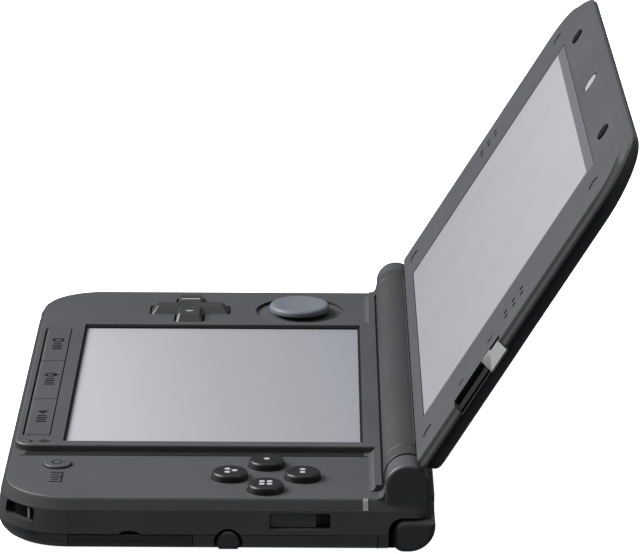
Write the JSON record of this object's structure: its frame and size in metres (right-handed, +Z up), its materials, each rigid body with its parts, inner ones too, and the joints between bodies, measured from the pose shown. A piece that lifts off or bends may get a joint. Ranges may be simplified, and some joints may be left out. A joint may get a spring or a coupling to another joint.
{
  "type": "folding handheld lcd game",
  "caption": "Folding handheld lcd game with a screen in each half, cross key, thumb pad, buttons, stylus and friction hinge, standing open.",
  "frame": {"origin": "below the middle of the open console's bounding box, on the plane of its feet", "axes": "+X to the player's right, +Y from the player towards the hinge, +Z up out of the deck"},
  "size_m": [0.156, 0.1336, 0.0881],
  "materials": {
    "shell_plastic": "matte",
    "key_plastic": "satin",
    "thumb_pad_plastic": "matte",
    "slider_plastic": "satin",
    "bumper_rubber": "matte",
    "membrane_rubber": "matte",
    "screen_glass": "gloss",
    "lens_glass": "gloss",
    "window_plastic": "gloss",
    "light_pipe_plastic": "gloss",
    "lcd_module": "gloss",
    "circuit_board": "satin",
    "chip_plastic": "matte",
    "battery_wrap": "matte",
    "plated_steel": "satin",
    "stamped_steel": "satin",
    "card_plastic": "matte",
    "ribbon_film": "satin"
  },
  "bodies": {
    "base": {"base_top_shell": "shell_plastic", "base_bottom_shell": "shell_plastic", "battery_cover": "shell_plastic", "rubber_feet": "bumper_rubber", "case_screws": "plated_steel", "cover_screws": "plated_steel", "battery_pack": "battery_wrap", "main_board": "circuit_board", "board_components": "chip_plastic", "lower_lcd": "lcd_module", "touch_panel": "screen_glass", "charge_port": "stamped_steel", "infrared_window": "window_plastic", "headphone_jack": "key_plastic", "sd_socket": "stamped_steel", "sd_card": "card_plastic", "game_card_slot": "stamped_steel", "status_light_window": "window_plastic", "light_pipes": "light_pipe_plastic", "face_membrane": "membrane_rubber", "dpad_membrane": "membrane_rubber", "system_membrane": "membrane_rubber", "circle_pad_module": "key_plastic", "shoulder_pins": "plated_steel", "shoulder_springs": "plated_steel", "hinge_clutch_shaft": "plated_steel", "hinge_bush": "plated_steel"},
    "lid": {"lid_inner_frame": "shell_plastic", "lid_outer_shell": "shell_plastic", "hinge_barrel": "shell_plastic", "barrel_end_rings": "shell_plastic", "hinge_clutch_housing": "plated_steel", "display_ribbon": "ribbon_film", "lid_screws": "plated_steel", "lid_bumpers": "bumper_rubber", "upper_screen_window": "screen_glass", "upper_lcd": "lcd_module", "camera_module": "circuit_board", "camera_lenses": "lens_glass", "speakers": "key_plastic"},
    "depth_slider": {"depth_slider": "slider_plastic"},
    "dpad_pivot": {"dpad_pivot": "plated_steel"},
    "dpad_key": {"dpad_key": "key_plastic"},
    "circle_pad_carriage": {"circle_pad_carriage": "key_plastic"},
    "circle_pad_cap": {"circle_pad_cap": "thumb_pad_plastic"},
    "power_button": {"power_button": "shell_plastic"},
    "wireless_switch": {"wireless_switch": "key_plastic"},
    "volume_slider": {"volume_slider": "key_plastic"},
    "stylus": {"stylus": "shell_plastic"},
    "sd_door": {"sd_door": "shell_plastic"},
    "face_button_right": {"face_button_right": "key_plastic"},
    "face_button_top": {"face_button_top": "key_plastic"},
    "face_button_left": {"face_button_left": "key_plastic"},
    "face_button_bottom": {"face_button_bottom": "key_plastic"},
    "select_button": {"select_button": "shell_plastic"},
    "home_button": {"home_button": "shell_plastic"},
    "start_button": {"start_button": "shell_plastic"},
    "shoulder_button_right": {"shoulder_button_right": "shell_plastic"},
    "shoulder_button_left": {"shoulder_button_left": "shell_plastic"}
  },
  "joints": [
    {"name": "lid_hinge", "type": "hinge", "parent": "base", "child": "lid", "pos_m": [0, 0.01963, 0.0155], "axis": [1, 0, 0], "range_deg": [-33, 121.86]},
    {"name": "depth_slide", "type": "slide", "parent": "lid", "child": "depth_slider", "axis": [0, 0.5278, 0.8493], "range_m": [-0.0107, 0]},
    {"name": "dpad_rock_y", "type": "hinge", "parent": "base", "child": "dpad_pivot", "pos_m": [-0.0597, -0.02997, 0.0103], "axis": [1, 0, 0], "range_deg": [-2.2, 2.2], "stiffness_Nm_per_rad": 0.08},
    {"name": "dpad_rock_x", "type": "hinge", "parent": "dpad_pivot", "child": "dpad_key", "pos_m": [-0.0597, -0.02997, 0.0103], "axis": [0, 1, 0], "range_deg": [-2.2, 2.2], "stiffness_Nm_per_rad": 0.08, "deforming": ["dpad_membrane"]},
    {"name": "circle_pad_x", "type": "slide", "parent": "base", "child": "circle_pad_carriage", "axis": [1, 0, 0], "range_m": [-0.002, 0.002], "stiffness_N_per_m": 120},
    {"name": "circle_pad_y", "type": "slide", "parent": "circle_pad_carriage", "child": "circle_pad_cap", "axis": [0, 1, 0], "range_m": [-0.002, 0.002], "stiffness_N_per_m": 120},
    {"name": "face_button_right_press", "type": "slide", "parent": "base", "child": "face_button_right", "axis": [0, 0, -1], "range_m": [0, 0.0005], "stiffness_N_per_m": 600},
    {"name": "face_button_top_press", "type": "slide", "parent": "base", "child": "face_button_top", "axis": [0, 0, -1], "range_m": [0, 0.0005], "stiffness_N_per_m": 600},
    {"name": "face_button_left_press", "type": "slide", "parent": "base", "child": "face_button_left", "axis": [0, 0, -1], "range_m": [0, 0.0005], "stiffness_N_per_m": 600},
    {"name": "face_button_bottom_press", "type": "slide", "parent": "base", "child": "face_button_bottom", "axis": [0, 0, -1], "range_m": [0, 0.0005], "stiffness_N_per_m": 600, "deforming": ["face_membrane"]},
    {"name": "select_button_press", "type": "slide", "parent": "base", "child": "select_button", "axis": [0, 0, -1], "range_m": [0, 0.0004], "stiffness_N_per_m": 600},
    {"name": "home_button_press", "type": "slide", "parent": "base", "child": "home_button", "axis": [0, 0, -1], "range_m": [0, 0.0004], "stiffness_N_per_m": 600},
    {"name": "start_button_press", "type": "slide", "parent": "base", "child": "start_button", "axis": [0, 0, -1], "range_m": [0, 0.0004], "stiffness_N_per_m": 600, "deforming": ["system_membrane"]},
    {"name": "power_button_press", "type": "slide", "parent": "base", "child": "power_button", "axis": [0, 0, -1], "range_m": [0, 0.0004], "stiffness_N_per_m": 600},
    {"name": "wireless_slide", "type": "slide", "parent": "base", "child": "wireless_switch", "axis": [0, 1, 0], "range_m": [0, 0.0027], "stiffness_N_per_m": 150},
    {"name": "volume_slide", "type": "slide", "parent": "base", "child": "volume_slider", "axis": [0, 1, 0], "range_m": [-0.0045, 0.0045]},
    {"name": "stylus_slide", "type": "slide", "parent": "base", "child": "stylus", "axis": [1, 0, 0], "range_m": [0, 0.095]},
    {"name": "sd_door_hinge", "type": "hinge", "parent": "base", "child": "sd_door", "pos_m": [0.076, -0.02027, 0.0029], "axis": [0, 1, 0], "range_deg": [0, 65]},
    {"name": "shoulder_right_press", "type": "hinge", "parent": "base", "child": "shoulder_button_right", "pos_m": [0.0556, 0.02173, 0.0049], "axis": [0, 0, -1], "range_deg": [0, 2], "stiffness_Nm_per_rad": 0.3, "deforming": ["shoulder_springs"]},
    {"name": "shoulder_left_press", "type": "hinge", "parent": "base", "child": "shoulder_button_left", "pos_m": [-0.0556, 0.02173, 0.0049], "axis": [0, 0, 1], "range_deg": [0, 2], "stiffness_Nm_per_rad": 0.3}
  ]
}
